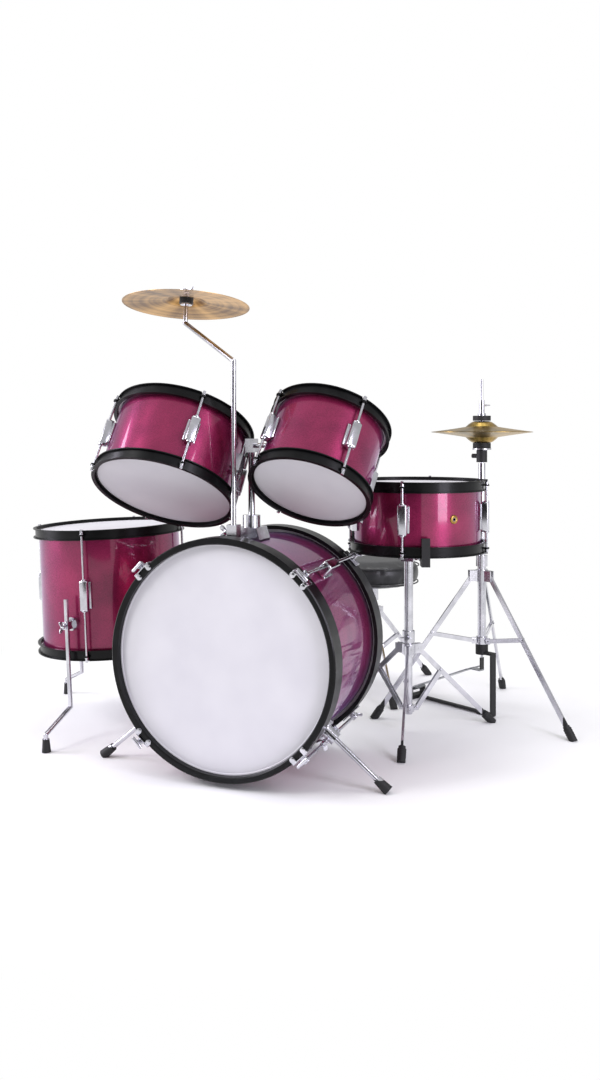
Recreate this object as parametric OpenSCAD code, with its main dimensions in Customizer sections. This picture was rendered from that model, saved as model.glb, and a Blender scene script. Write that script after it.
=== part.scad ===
// Small acoustic drum kit: bass drum with two toms on it, floor tom, snare
// on its stand, hi-hat, crash cymbal, throne and bass pedal.
// The kit stands on the floor at z = 0, with +Y towards the player.

/* [Bass drum] */
// outer radius of the shell, a 16 inch drum
bass_r = 203; // [196:1:206]
// distance between the two heads
bass_depth = 272; // [262:1:280]
// height of the drum's axis above the floor
bass_axis_z = 228; // [226:1:232]

/* [Toms] */
// outer radius of the larger tom, a 10 inch drum
big_tom_r = 127; // [124:1:128]
// outer radius of the smaller tom, an 8 inch drum
small_tom_r = 101.6; // [98:0.2:103]
// depth of both tom shells
tom_depth = 145; // [141:1:147]
// lean of the larger tom towards the player, in degrees
big_tom_lean = 31.4; // [30:0.2:33]
// lean of the smaller tom towards the player, in degrees
small_tom_lean = 35.6; // [34:0.2:37]

/* [Floor tom] */
// outer radius of the shell, a 12 inch drum
floor_r = 152.4; // [148:0.2:155]
// depth of the shell, 10 inches
floor_depth = 254; // [245:1:260]
// height of the middle of the lower head
floor_z = 171; // [168:1:176]
// sideways lean of the drum, in degrees
floor_lean = 2.5; // [2:0.1:3]

/* [Snare drum] */
// outer radius of the shell, a 10 inch drum
snare_r = 127; // [125:1:128]
// depth of the shell, 5 inches
snare_depth = 128; // [124:1:130]
// height of the lower head
snare_z = 403; // [403:1:412]

/* [Cymbals] */
// radius of the crash cymbal
crash_r = 127; // [115:1:135]
// radius of the two hi-hat cymbals
hihat_r = 113; // [104:1:116]
// height of the rim of the closed hi-hat
hihat_z = 636; // [632:1:644]

/* [Throne] */
// radius of the seat
seat_r = 120; // [112:1:124]
// height of the top of the seat
seat_top = 322; // [316:1:330]

/* [Hidden] */
$fa = 4;
$fs = 0.8;
gap = 0.1;               // between two pieces that are bolted together
slack = 0.05;            // round the shaft of a joint
rod_r = 4.75;            // thin chromed rods
tube_r = 9.5;            // lower tube of a stand
inner_tube_r = 8;        // the tube that slides in it
wall = 6;                // drum shell
// where each thing stands
mount_x = 6;
crash_x = 2;
crash_y = 45;
post_y = 120;
spur_y = 72;
big_tom_at = [-150, 61, 523];
big_tom_yaw = 4;
small_tom_at = [147, 54, 531];
small_tom_yaw = 8;
floor_at = [-408, 313, floor_z];
floor_lean_axis = [0.347, -0.938, 0];
floor_lug_turn = -79;
floor_leg_turn = -91.6;
snare_at = [270, 356, snare_z];
snare_stand_at = [232, 438, 0];
hihat_at = [355, 623, 0];
hihat_pedal_turn = 151.6;
throne_at = [58, 768, 0];
// the kit is shifted so that its footprint is centred on the origin
layout_centre = [-29, 445.2, 0];
// drum fittings
head_t = 0.8;
bead_r = 2.2;            // round edge of a head
leg_w = 5;               // folding legs are flat bars on edge
leg_h = 10;
brace_t = 1.6;
brace_in = 0.3;          // the braces are pressed this far into the leg's sides
rivet_r = 2.4;
leg_pivot_r = 22.6;
brace_pivot_r = 19;
ear_out = 13;            // how far a tension rod stands off the shell
hoop_out = 12.5;         // how far a hoop's rolled edges stand off the shell
hoop_up = 8;
hoop_down = 13;
key_rod_r = 2.5;
lug_w = 24;
tom_lug = 52;
snare_lug = 60;
floor_lug = 64;
claw_out = 24;           // how far a bass tension rod stands off the shell
bass_hoop_out = 15;
claw_tab_y = 13.5;
claw_tab_r = 5.5;
// tom holder
post_r = 6.35;
holder_z = 431;
head_z = 609;            // the tilt axis of both toms
big_leg = [137.5, 13.9]; // the arm's leg beside the larger tom, in its frame
small_leg = [-112.7, -0.8];
// crash holder
crash_mid = [-156, 166, 888];
crash_lean = 6.5;
crash_low_z = 764;
crash_high_z = 852;
// spurs
spur_slope = 39.5;
spur_tip_x = 286;
// hi-hat
hihat_hub_z = 313;
hihat_collar_z = 167;
hihat_leg_foot = 243;
footboard_slope = 23.4;
// snare stand
stand_hub_z = 176;
stand_collar_z = 50;
stand_foot = 196;
stand_turn = -80;
// throne
throne_hub_z = 190;
throne_collar_z = 90;
throne_foot = 196;
throne_turn = -60;
// bass pedal
axle_y = 316;
axle_z = 172;
heel_y = 462;

// ---------- frames ----------

module on_floor() translate(-layout_centre) children();

module at_big_tom() on_floor() translate(big_tom_at)
  rotate([-big_tom_lean, 0, -big_tom_yaw]) children();

module at_small_tom() on_floor() translate(small_tom_at)
  rotate([-small_tom_lean, 0, -small_tom_yaw]) children();

module at_floor_tom() on_floor() translate(floor_at)
  rotate(a = floor_lean, v = floor_lean_axis) children();

module at_snare() on_floor() translate(snare_at) children();

// z runs along the bass drum's axis, from the front head to the back one
module at_bass() on_floor() translate([0, 0, bass_axis_z]) rotate([-90, 0, 0]) children();

module at_crash() on_floor() translate(crash_mid) rotate([-crash_lean, 0, 0]) children();

// z runs down the spur, away from the drum; side is 1 or -1
module at_spur(side) on_floor() translate([side * spur_tip_x, spur_y, 5])
  rotate([0, side * (90 + spur_slope), 0]) children();

module around(count, turn = 0)
  for (i = [0 : count - 1]) rotate([0, 0, turn + i * 360 / count]) children();

// ---------- shared pieces ----------

// a straight round bar between two points
module bar(from, to, r) {
  d = to - from;
  len = norm(d);
  translate(from)
    rotate([0, acos(d[2] / len), atan2(d[1], d[0])])
      cylinder(r = r, h = len);
}

// a round bar with rounded corners through a list of points
module bent_bar(points, r) {
  for (i = [0 : len(points) - 2]) bar(points[i], points[i + 1], r);
  for (i = [1 : len(points) - 2]) translate(points[i]) sphere(r = r);
}

module ring(outer, inner, h) difference() {
  cylinder(r = outer, h = h);
  translate([0, 0, -1]) cylinder(r = inner, h = h + 2);
}

module drum_shell(r, depth) rotate_extrude() polygon([
  [r - wall, 3], [r - wall / 2, 0], [r, 2],
  [r, depth - 2], [r - wall / 2, depth], [r - wall, depth - 3]
]);

// upper head, with the shell's edge at z = 0
module drum_head(r) rotate_extrude() polygon([
  [0, gap], [r + 1, gap], [r + 1, -6], [r + 1 + 2 * bead_r, -6],
  [r + 1 + 2 * bead_r, 0], [r + 2, head_t], [0, head_t]
]);

// steel hoop with rolled edges, with the shell's edge at z = 0
module drum_hoop(r, turn) difference() {
  union() {
    rotate_extrude() polygon([
      [r + 2.5, 1.2], [r + 6, 1.2], [r + 6, -hoop_down], [r + hoop_out, -hoop_down],
      [r + hoop_out, -hoop_down + 2], [r + 8, -hoop_down + 2], [r + 8, hoop_up - 2],
      [r + hoop_out, hoop_up - 2], [r + hoop_out, hoop_up], [r + 6, hoop_up],
      [r + 6, 3.2], [r + 2.5, 3.2]
    ]);
    around(4, turn) translate([r + ear_out, 0, -3]) cylinder(r = 5.5, h = 3);
  }
  around(4, turn) translate([r + ear_out, 0, 0]) {
    translate([0, 0, -4]) cylinder(r = key_rod_r + 0.4, h = 5);
    translate([0, 0, hoop_up - 3]) cylinder(r = 4.8, h = 4);
    translate([0, 0, -hoop_down - 1]) cylinder(r = 3.6, h = 4);
  }
}

module both_ends(depth) {
  translate([0, 0, depth]) children();
  mirror([0, 0, 1]) children();
}

// single lug half way down the shell, with a rod into each end
module drum_lug(r, depth, long) translate([0, 0, depth / 2]) difference() {
  union() {
    translate([r - 1, -lug_w / 2, -long / 2 + 4]) cube([5.5, lug_w, long - 8]);
    translate([r, -lug_w / 2 + 3, -long / 2]) cube([ear_out + 5, lug_w - 6, long]);
  }
  translate([0, 0, -long]) cylinder(r = r + gap, h = 2 * long);
  for (side = [-1, 1])
    translate([r + ear_out, 0, side * (long / 2 - 6) - 8])
      cylinder(r = key_rod_r + 0.4, h = 16);
}

module drum_lugs(r, depth, turn, long)
  around(4, turn) drum_lug(r, depth, long);

// a tension rod with its washer and square head on the hoop's ear
module key_rod(r, length) translate([r + ear_out, 0, 0]) {
  translate([0, 0, -length]) cylinder(r = key_rod_r, h = length + 1);
  translate([0, 0, 0.2]) cylinder(r = 4.4, h = 1.4);
  translate([0, 0, 1.2]) cylinder(r = 3.6, h = 4);
  translate([-2.6, -2.6, 1.2]) cube([5.2, 5.2, 9]);
}

module key_rods(r, depth, turn, long)
  both_ends(depth) around(4, turn) key_rod(r, depth / 2 - long / 2 + 9);

// wing bolt pointing along z, its tip at z = 0
module wing_bolt(shank = 12) {
  cylinder(r = 3, h = shank + 5);
  translate([0, 0, shank]) cylinder(r = 5, h = 6);
  for (side = [0, 180]) rotate([0, 0, side]) translate([3, 0, shank + 4])
    rotate([0, 35, 0]) translate([-1, -1.5, 0]) cube([5, 3, 12]);
}

// rubber foot pressed on the end of a leg, its sole at z = 0
module rubber_foot(r, h) difference() {
  cylinder(r1 = r, r2 = r * 0.75, h = h);
  translate([0, 0, 6]) cylinder(r = rod_r + gap, h = h);
}

// depth of a tripod leg's middle line at a distance from the stand's axis
function leg_z(hub_z, foot_r, r) = hub_z - (hub_z - 8) * (r - leg_pivot_r) / (foot_r - leg_pivot_r);

// flat strip on edge between two points of the x-z plane
module strip(r1, z1, r2, z2, over, y, t, h)
  translate([r1, y, z1]) rotate([0, atan2(z1 - z2, r2 - r1), 0])
    translate([-over, 0, -h / 2]) cube([norm([r2 - r1, z2 - z1]) + 2 * over, t, h]);

module rivet(r, z, half) translate([r, -half, z]) rotate([-90, 0, 0])
  cylinder(r = rivet_r, h = 2 * half);

// folding leg with its pair of brace strips, riveted together
module tripod_leg(hub_z, foot_r, low_z, high_r) {
  high_z = leg_z(hub_z, foot_r, high_r);
  strip(leg_pivot_r, hub_z, foot_r, 8, 4, -leg_w / 2, leg_w, leg_h);
  for (y = [-leg_w / 2 - brace_t + brace_in, leg_w / 2 - brace_in])
    strip(brace_pivot_r, low_z, high_r, high_z, 4, y, brace_t, leg_h - 1);
  rivet(leg_pivot_r, hub_z, leg_w / 2 + 4.5);
  rivet(high_r, high_z, leg_w / 2 + 3);
  rivet(brace_pivot_r, low_z, leg_w / 2 + 3);
}

// rubber boot pushed over the leg's end and cut flat on the floor
module tripod_boot(hub_z, foot_r) difference() {
  slope = atan2(hub_z - 8, foot_r - leg_pivot_r);
  translate([foot_r, 0, 8]) rotate([0, slope, 0]) translate([-22, 0, 0]) rotate([0, 90, 0])
    union() {
      cylinder(r = 7.2, h = 22);
      translate([0, 0, 8]) cylinder(r = 8.4, h = 26);
    }
  translate([foot_r, 0, 8]) rotate([0, slope, 0])
    translate([-60, -leg_w / 2 - gap, -leg_h / 2 - gap])
      cube([64 + gap, leg_w + 2 * gap, leg_h + 2 * gap]);
  translate([foot_r - 60, -20, -30]) cube([120, 40, 30]);
}

// cast hub with three forks for the legs
module tripod_hub(r, h, turn) {
  translate([0, 0, -h / 2]) cylinder(r = r, h = h);
  around(3, turn) difference() {
    translate([r * 0.6, -leg_w / 2 - 4, 1 - h / 2]) cube([30 - r * 0.6, leg_w + 8, h - 2]);
    translate([r + 0.6, -leg_w / 2 - gap, -h]) cube([30, leg_w + 2 * gap, 2 * h]);
    translate([leg_pivot_r, -20, 0]) rotate([-90, 0, 0]) cylinder(r = rivet_r + gap, h = 40);
  }
}

// sliding collar with three tongues for the braces
module tripod_collar(r, h, turn) {
  translate([0, 0, -h / 2]) cylinder(r = r, h = h);
  around(3, turn) difference() {
    translate([r * 0.6, -leg_w / 2 + brace_in + gap, 1 - h / 2])
      cube([23 - r * 0.6, leg_w - 2 * brace_in - 2 * gap, h - 2]);
    translate([brace_pivot_r, -20, 0]) rotate([-90, 0, 0]) cylinder(r = rivet_r + gap, h = 40);
  }
}

// turned cymbal: bell in the middle, a shallow bow out to the rim at z = 0
module cymbal(r, bell_r, rise, hole, t) rotate_extrude() polygon([
  [r, 0], [r * 0.68, rise * 0.28], [bell_r, rise * 0.45],
  [bell_r * 0.84, rise * 0.6], [bell_r * 0.55, rise * 0.9],
  [bell_r * 0.3, rise], [hole, rise],
  [hole, rise + t], [bell_r * 0.32, rise + t], [bell_r * 0.6, rise * 0.9 + t],
  [bell_r * 0.9, rise * 0.6 + t], [bell_r * 1.05, rise * 0.45 + t],
  [r * 0.68, rise * 0.28 + t], [r, 0.7]
]);

// ---------- bass drum ----------

module bass_shell() color("DarkRed") difference() {
  at_bass() drum_shell(bass_r, bass_depth);
  on_floor() translate([mount_x, post_y, bass_axis_z + bass_r - 40])
    cylinder(r = post_r + 1, h = 60);
  for (side = [-1, 1]) at_spur(side) translate([0, 0, -320]) cylinder(r = rod_r + 1, h = 300);
}

module bass_hoop() rotate_extrude() polygon([
  [bass_r + 3, 2], [bass_r + 3, bass_hoop_out - 2], [bass_r + 5, bass_hoop_out],
  [bass_r + bass_hoop_out - 2, bass_hoop_out], [bass_r + bass_hoop_out, bass_hoop_out - 2],
  [bass_r + bass_hoop_out, -25], [bass_r + 8, -25], [bass_r + 8, 2]
]);

module bass_hoops() color("Black") at_bass() both_ends(bass_depth) bass_hoop();

module bass_head() rotate_extrude() polygon([
  [0, gap], [bass_r + 1, gap], [bass_r + 1, -8], [bass_r + 6, -8],
  [bass_r + 6, 1.6], [bass_r + 1, 1.6], [bass_r, head_t], [0, head_t]
]);

module bass_heads() color("White") at_bass() both_ends(bass_depth) bass_head();

// tall lug that carries a bass tension rod at each end
module bass_lug() translate([0, 0, bass_depth / 2]) difference() {
  union() {
    translate([bass_r - 3, -13, -28]) cube([claw_out + 1, 26, 56]);
    translate([bass_r + claw_out, 0, -28]) cylinder(r = 7, h = 56);
  }
  translate([0, 0, -60]) cylinder(r = bass_r + gap, h = 120);
  for (side = [-1, 1])
    translate([bass_r + claw_out, 0, side * 22 - 10]) cylinder(r = 3.4, h = 20);
}

module fixed_lugs() color("Silver") {
  at_bass() around(4, 45) bass_lug();
  at_floor_tom() drum_lugs(floor_r, floor_depth, floor_lug_turn, floor_lug);
}

// claw hook over the hoop: two round tabs on its face and an ear for the rod
module bass_claw() difference() {
  union() {
    for (side = [-1, 1]) translate([bass_r + 9, side * claw_tab_y, bass_hoop_out + gap]) {
      cylinder(r = claw_tab_r, h = 2.2);
      translate([0, -claw_tab_r, 0]) cube([8.5, 2 * claw_tab_r, 2.2]);
    }
    translate([bass_r + bass_hoop_out + gap, -claw_tab_y - claw_tab_r, -8])
      cube([2.2, 2 * (claw_tab_y + claw_tab_r), bass_hoop_out + 8 + 2.2 + gap]);
    translate([bass_r + bass_hoop_out + gap, -7, 2]) cube([8, 14, 8]);
    translate([bass_r + claw_out, 0, 2]) cylinder(r = 6, h = 8);
  }
  translate([bass_r + claw_out, 0, -30]) cylinder(r = 3.4, h = 60);
  cylinder(r = bass_r + bass_hoop_out + gap, h = bass_hoop_out);
}

module bass_claws() color("Silver") at_bass() both_ends(bass_depth) around(4, 45) bass_claw();

// rod with a cross handle; bar_turn keeps the handle level
module bass_rod(bar_turn, reach) translate([bass_r + claw_out, 0, 0]) {
  top = reach;
  translate([0, 0, -bass_depth / 2 + 18]) cylinder(r = 3, h = bass_depth / 2 - 18 + top);
  translate([0, 0, 10.2]) cylinder(r = 5.5, h = 1.6);
  translate([0, 0, top]) rotate([0, 0, bar_turn]) rotate([90, 0, 0])
    translate([0, 0, -13]) cylinder(r = 3.2, h = 26);
}

module bass_rods() color("Silver") at_bass() {
  translate([0, 0, bass_depth])
    for (i = [0 : 3]) rotate([0, 0, 45 + i * 90]) bass_rod(45 - i * 90, 22);
  mirror([0, 0, 1])
    for (i = [0 : 3]) rotate([0, 0, 45 + i * 90]) bass_rod(0, 22);
}

// ---------- brackets, spurs and the tom holder ----------

// casting on the shell that a spur slides through
module spur_bracket(side) difference() {
  union() {
    at_spur(side) translate([0, 0, -198]) cylinder(r = 12, h = 74);
    at_spur(side) translate([0, 0, -198]) cylinder(r = 20, h = 50);
  }
  at_spur(side) translate([0, 0, -300]) cylinder(r = rod_r + 0.5, h = 300);
  at_bass() translate([0, 0, -10]) cylinder(r = bass_r + gap, h = bass_depth);
  at_spur(side) translate([0, 0, -136]) rotate([0, 90, 0]) cylinder(r = 3.2, h = 40);
}

// rosette that clamps a floor tom leg upright beside the shell
module leg_bracket() difference() {
  union() {
    translate([floor_r, 0, 68]) rotate([0, 90, 0]) cylinder(r = 14, h = 8);
    translate([floor_r, -8, 60]) cube([22 + rod_r + 4, 16, 16]);
  }
  cylinder(r = floor_r + gap, h = 140);
  translate([floor_r + 22, 0, 0]) cylinder(r = rod_r + slack, h = 140);
  translate([floor_r + 22, 0, 68]) rotate([0, 90, 0]) cylinder(r = 3.2, h = 40);
}

module shell_brackets() color("Silver") {
  for (side = [-1, 1]) spur_bracket(side);
  at_floor_tom() around(3, floor_leg_turn) leg_bracket();
}

module spur(side) {
  at_spur(side) translate([0, 0, -245]) cylinder(r = rod_r, h = 236);
  difference() {
    at_spur(side) translate([0, 0, -26]) cylinder(r1 = 7.5, r2 = 10, h = 28);
    at_spur(side) translate([0, 0, -30]) cylinder(r = rod_r + gap, h = 22);
    on_floor() translate([0, 0, -50]) cube([1000, 1000, 100], center = true);
  }
}

module spur_left() color("Silver") spur(-1);
module spur_right() color("Silver") spur(1);

module wing_bolts() color("Silver") {
  for (side = [-1, 1]) at_spur(side) translate([rod_r + 1, 0, -136])
    rotate([0, 90, 0]) wing_bolt(10);
  at_floor_tom() around(3, floor_leg_turn)
    translate([floor_r + 22 + rod_r + 0.6, 0, 68]) rotate([0, 90, 0]) wing_bolt(6);
  on_floor() translate([mount_x - post_r - 1, post_y, holder_z + 20])
    rotate([0, -90, 0]) rotate([0, 0, 90]) wing_bolt(16);
  on_floor() translate([crash_x - rod_r - 0.6, crash_y, holder_z + 20])
    rotate([0, -90, 0]) wing_bolt(7);
}

// saddle on top of the bass drum: post socket behind, crash clamp in front
module mount_base() color("Silver") difference() {
  on_floor() {
    translate([mount_x, post_y - 26, holder_z - 14]) rotate([-90, 0, 0])
      linear_extrude(height = 52) polygon([
        [-27, -2], [-27, -16], [-20, -38], [20, -38], [27, -16], [27, -2]
      ]);
    translate([crash_x - 13, crash_y - 12, holder_z - 14]) cube([30, post_y - crash_y, 19]);
    translate([mount_x, post_y, holder_z + 20]) cylinder(r = 17, h = 26);
    translate([crash_x - 10, crash_y - 10, holder_z]) cube([20, 20, 34]);
  }
  at_bass() translate([0, 0, -10]) cylinder(r = bass_r + gap, h = bass_depth);
  on_floor() translate([mount_x, post_y, 380]) cylinder(r = post_r + slack, h = 120);
  on_floor() translate([crash_x, crash_y, holder_z + 3]) cylinder(r = rod_r + slack, h = 60);
  on_floor() translate([mount_x - 5, post_y, holder_z + 20]) rotate([0, -90, 0])
    cylinder(r = 3.2, h = 40);
  on_floor() translate([crash_x - 3, crash_y, holder_z + 20]) rotate([0, -90, 0])
    cylinder(r = 3.2, h = 40);
}

module tom_post() color("Silver") on_floor() difference() {
  union() {
    translate([mount_x, post_y, 378]) cylinder(r = post_r, h = head_z - 378);
    translate([mount_x - 8, post_y - 13, head_z - 13]) cube([16, 26, 26]);
  }
  translate([mount_x - 30, post_y, head_z]) rotate([0, 90, 0])
    cylinder(r = rod_r + slack, h = 60);
}

// knuckle where the arm's two halves meet
module elbow() translate([0, 0, -6]) cylinder(r = rod_r + 1, h = 12);

// cranked rod: a short arm in the post's head and a leg beside the tom
module tom_arm_left() color("Silver") {
  on_floor() translate([mount_x - 0.5, post_y, head_z]) rotate([0, -90, 0])
    cylinder(r = rod_r, h = 14);
  at_big_tom() translate([big_leg[0], big_leg[1], 44]) cylinder(r = rod_r, h = 65.5);
  at_big_tom() translate([big_leg[0], big_leg[1], 109.5]) elbow();
}

module tom_arm_right() color("Silver") {
  on_floor() translate([mount_x + 0.5, post_y, head_z]) rotate([0, 90, 0])
    cylinder(r = rod_r, h = 36.5);
  at_small_tom() translate([small_leg[0], small_leg[1], 34]) cylinder(r = rod_r, h = 59.5);
  at_small_tom() translate([small_leg[0], small_leg[1], 93.5]) elbow();
}

// clamp on the tom's side, bored for the arm's leg
module tom_bracket(r, leg, low, high) difference() {
  angle = atan2(leg[1], leg[0]);
  out = norm(leg);
  rotate([0, 0, angle]) union() {
    translate([r - 2, -10, low]) cube([out - r + 8, 20, high - low]);
    translate([r - 2, -16, low + 6]) cube([6, 32, high - low - 12]);
  }
  cylinder(r = r + gap, h = 200);
  translate([leg[0], leg[1], 0]) cylinder(r = rod_r + slack, h = 200);
}

// ---------- crash cymbal ----------

module crash_rod() color("Silver") {
  on_floor() bent_bar([
    [crash_x, crash_y, holder_z + 5],
    [crash_x, crash_y, crash_low_z],
    crash_mid + [0, -(crash_mid[2] - crash_high_z) * tan(crash_lean), crash_high_z - crash_mid[2]]
  ], rod_r);
  at_crash() translate([0, 0, (crash_high_z - crash_mid[2]) / cos(crash_lean)]) {
    sphere(r = rod_r + 0.2);
    cylinder(r = rod_r, h = 39);
    cylinder(r = 3, h = 72);
  }
  at_crash() translate([0, 0, 1]) cylinder(r = 12, h = 2);
}

module crash_cymbal() color("DarkGoldenrod") at_crash() cymbal(crash_r, 42, 17, 5.4, 1.1);

module crash_felts() color("DimGray") at_crash() {
  translate([0, 0, 3.2]) ring(14, rod_r + 0.3, 13.4);
  translate([0, 0, 18.5]) ring(14, 3.3, 7);
}

module crash_wing_nut() color("Silver") at_crash() difference() {
  union() {
    translate([0, 0, 25.8]) cylinder(r = 7, h = 8);
    for (side = [0, 180]) rotate([0, 0, side]) translate([4, -1.5, 29])
      rotate([0, 30, 0]) cube([6, 3, 13]);
  }
  cylinder(r = 3 + slack, h = 80);
}

// ---------- toms ----------

big_turn = -48;
small_turn = -36;

module tom_left_shell() color("DarkRed") at_big_tom() drum_shell(big_tom_r, tom_depth);
module tom_left_hoops() color("Black") at_big_tom() both_ends(tom_depth)
  drum_hoop(big_tom_r, big_turn);
module tom_left_heads() color("White") at_big_tom() both_ends(tom_depth) drum_head(big_tom_r);
module tom_left_lugs() color("Silver") at_big_tom()
  drum_lugs(big_tom_r, tom_depth, big_turn, tom_lug);
module tom_left_rods() color("Silver") at_big_tom()
  key_rods(big_tom_r, tom_depth, big_turn, tom_lug);
module tom_left_bracket() color("Silver") at_big_tom() tom_bracket(big_tom_r, big_leg, 50, 86);

module tom_right_shell() color("DarkRed") at_small_tom() drum_shell(small_tom_r, tom_depth);
module tom_right_hoops() color("Black") at_small_tom() both_ends(tom_depth)
  drum_hoop(small_tom_r, small_turn);
module tom_right_heads() color("White") at_small_tom() both_ends(tom_depth)
  drum_head(small_tom_r);
module tom_right_lugs() color("Silver") at_small_tom()
  drum_lugs(small_tom_r, tom_depth, small_turn, tom_lug);
module tom_right_rods() color("Silver") at_small_tom()
  key_rods(small_tom_r, tom_depth, small_turn, tom_lug);
module tom_right_bracket() color("Silver") at_small_tom()
  tom_bracket(small_tom_r, small_leg, 40, 76);

// ---------- floor tom ----------

module floor_shell() color("DarkRed") at_floor_tom() drum_shell(floor_r, floor_depth);
module floor_hoops() color("Black") at_floor_tom() both_ends(floor_depth)
  drum_hoop(floor_r, floor_lug_turn);
module floor_heads() color("White") at_floor_tom() both_ends(floor_depth) drum_head(floor_r);
module floor_rods() color("Silver") at_floor_tom()
  key_rods(floor_r, floor_depth, floor_lug_turn, floor_lug);

// leg rod beside the shell, cranked outwards near the floor
module floor_leg(turn) {
  out = floor_r + 22;
  foot_out = floor_r + 108;
  // the leaning drum puts each foot at its own depth below the lower head
  towards_lean = foot_out * cos(turn - atan2(-0.347, -0.938));
  sole = (towards_lean * sin(floor_lean) - floor_z) / cos(floor_lean) + 0.5;
  rotate([0, 0, turn]) {
    bent_bar([[out, 0, 122], [out, 0, sole + 66], [foot_out, 0, sole + 34],
              [foot_out, 0, sole + 7]], rod_r);
    translate([foot_out, 0, sole]) rubber_foot(9, 26);
  }
}

module floor_legs() color("Silver") at_floor_tom()
  for (i = [0 : 2]) floor_leg(floor_leg_turn + i * 120);

// ---------- snare drum ----------

snare_turn = -88;
strainer_turn = 26;
vent_turn = -43;

module snare_shell() color("DarkRed") at_snare() difference() {
  drum_shell(snare_r, snare_depth);
  translate([0, 0, snare_depth / 2]) rotate([0, 0, vent_turn]) rotate([0, 90, 0])
    cylinder(r = 5, h = 200);
}

module snare_hoops() color("Black") at_snare() both_ends(snare_depth)
  drum_hoop(snare_r, snare_turn);
module snare_heads() color("White") at_snare() both_ends(snare_depth) drum_head(snare_r);
module snare_lugs() color("Silver") at_snare() drum_lugs(snare_r, snare_depth, snare_turn, snare_lug);
module snare_rods() color("Silver") at_snare()
  key_rods(snare_r, snare_depth, snare_turn, snare_lug);

// strainer body and, opposite it, the butt plate that holds the wires' far end
module snare_strainer() color("Silver") at_snare() difference() {
  union() {
    rotate([0, 0, strainer_turn]) {
      translate([snare_r - 3, -13, 34]) cube([10, 26, 52]);
      translate([snare_r + 6, -8, 62]) cube([10, 16, 20]);
    }
    rotate([0, 0, strainer_turn + 180]) translate([snare_r - 3, -15, 34]) cube([11, 30, 34]);
    rotate([0, 0, vent_turn]) translate([0, 0, snare_depth / 2]) rotate([0, 90, 0])
      translate([0, 0, snare_r - 6]) cylinder(r = 4.9, h = 7);
    rotate([0, 0, vent_turn]) translate([0, 0, snare_depth / 2]) rotate([0, 90, 0])
      translate([0, 0, snare_r - 2]) cylinder(r = 8, h = 3.5);
  }
  difference() {
    cylinder(r = snare_r + gap, h = 200);
    rotate([0, 0, vent_turn]) translate([0, 0, snare_depth / 2]) rotate([0, 90, 0])
      translate([0, 0, snare_r - 8]) cylinder(r = 4.9, h = 20);
  }
  rotate([0, 0, vent_turn]) translate([0, 0, snare_depth / 2]) rotate([0, 90, 0])
    cylinder(r = 3, h = 200);
  rotate([0, 0, strainer_turn]) translate([snare_r + 12, 0, 72]) rotate([90, 0, 0])
    translate([0, 0, -30]) cylinder(r = 2 + slack, h = 60);
}

// throw-off lever on a cross pin through the strainer
module snare_lever() color("Silver") at_snare() rotate([0, 0, strainer_turn]) {
  translate([snare_r + 12, 0, 72]) rotate([90, 0, 0]) translate([0, 0, -14])
    cylinder(r = 2, h = 28);
  for (side = [-1, 1]) translate([snare_r + 10.2, side * 11 - 2, 44]) cube([6.8, 4, 32]);
  translate([snare_r + 12, -13, 40]) cube([5, 26, 6]);
}

// curled wires stretched under the lower head between two end plates
module snare_wires() color("Silver") at_snare() rotate([0, 0, strainer_turn]) {
  for (i = [-4 : 4]) translate([-78, i * 4, -2.3]) rotate([0, 90, 0])
    cylinder(r = 0.9, h = 156);
  for (side = [-1, 1]) translate([side * 82 - 7, -19, -3.4]) cube([14, 38, 2.2]);
}

// ---------- snare stand ----------

module at_stand() on_floor() translate(snare_stand_at) children();

module snare_stand_base() color("Silver") at_stand() {
  translate([0, 0, 38]) cylinder(r = inner_tube_r, h = 292);
  translate([0, 0, stand_hub_z]) tripod_hub(14, 22, stand_turn);
  translate([0, 0, stand_collar_z]) tripod_collar(12, 14, stand_turn);
}

module snare_stand_legs() color("Silver") at_stand() around(3, stand_turn) {
  tripod_leg(stand_hub_z, stand_foot, stand_collar_z, 76);
  tripod_boot(stand_hub_z, stand_foot);
}

module snare_stand_tube() color("Silver") at_stand() {
  translate([0, -tube_r - 1, stand_hub_z + 26]) rotate([90, 0, 0]) wing_bolt(6);
  translate([0, 0, stand_hub_z + 12]) difference() {
    union() {
      cylinder(r = tube_r, h = 190);
      translate([0, 0, 2]) cylinder(r = 13, h = 24);
      translate([-13, -13, 174]) cube([26, 26, 18]);
    }
    translate([0, 0, -1]) cylinder(r = inner_tube_r + slack, h = 170);
    translate([0, -40, 14]) rotate([-90, 0, 0]) cylinder(r = 3.2, h = 40);
    translate([-40, 0, 185]) rotate([0, 90, 0]) cylinder(r = 4, h = 80);
  }
}

basket_turn = -70;
basket_z = snare_z - hoop_up - 1.2;
basket_r = snare_r + hoop_out + 2;   // inner face of the arms' hooks

// neck from the tilter to a hub under the drum, three arms and their rubber grips
module snare_basket() color("Silver") on_floor() {
  tilt = snare_stand_at + [0, 0, stand_hub_z + 197];
  translate(tilt + [-22, 0, 0]) rotate([0, 90, 0]) cylinder(r = 3.95, h = 44);
  for (side = [-1, 1]) translate(tilt + [side * 18 - 3, -7, -8]) cube([6, 14, 18]);
  translate(snare_at + [0, 0, basket_z - snare_z - 14]) cylinder(r = 20, h = 10);
  bar(snare_stand_at + [18, 0, basket_z - 9], [snare_at[0], snare_at[1], basket_z - 9], 4);
  bar(snare_stand_at + [-18, 0, basket_z - 9], [snare_at[0], snare_at[1], basket_z - 9], 4);
  translate([snare_at[0], snare_at[1], basket_z - 9]) around(3, basket_turn) {
    translate([15, -4, -2]) cube([basket_r - 10, 8, 4]);
    translate([basket_r, -4, -2]) cube([4, 8, 30]);
    basket_grip();
  }
}

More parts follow.
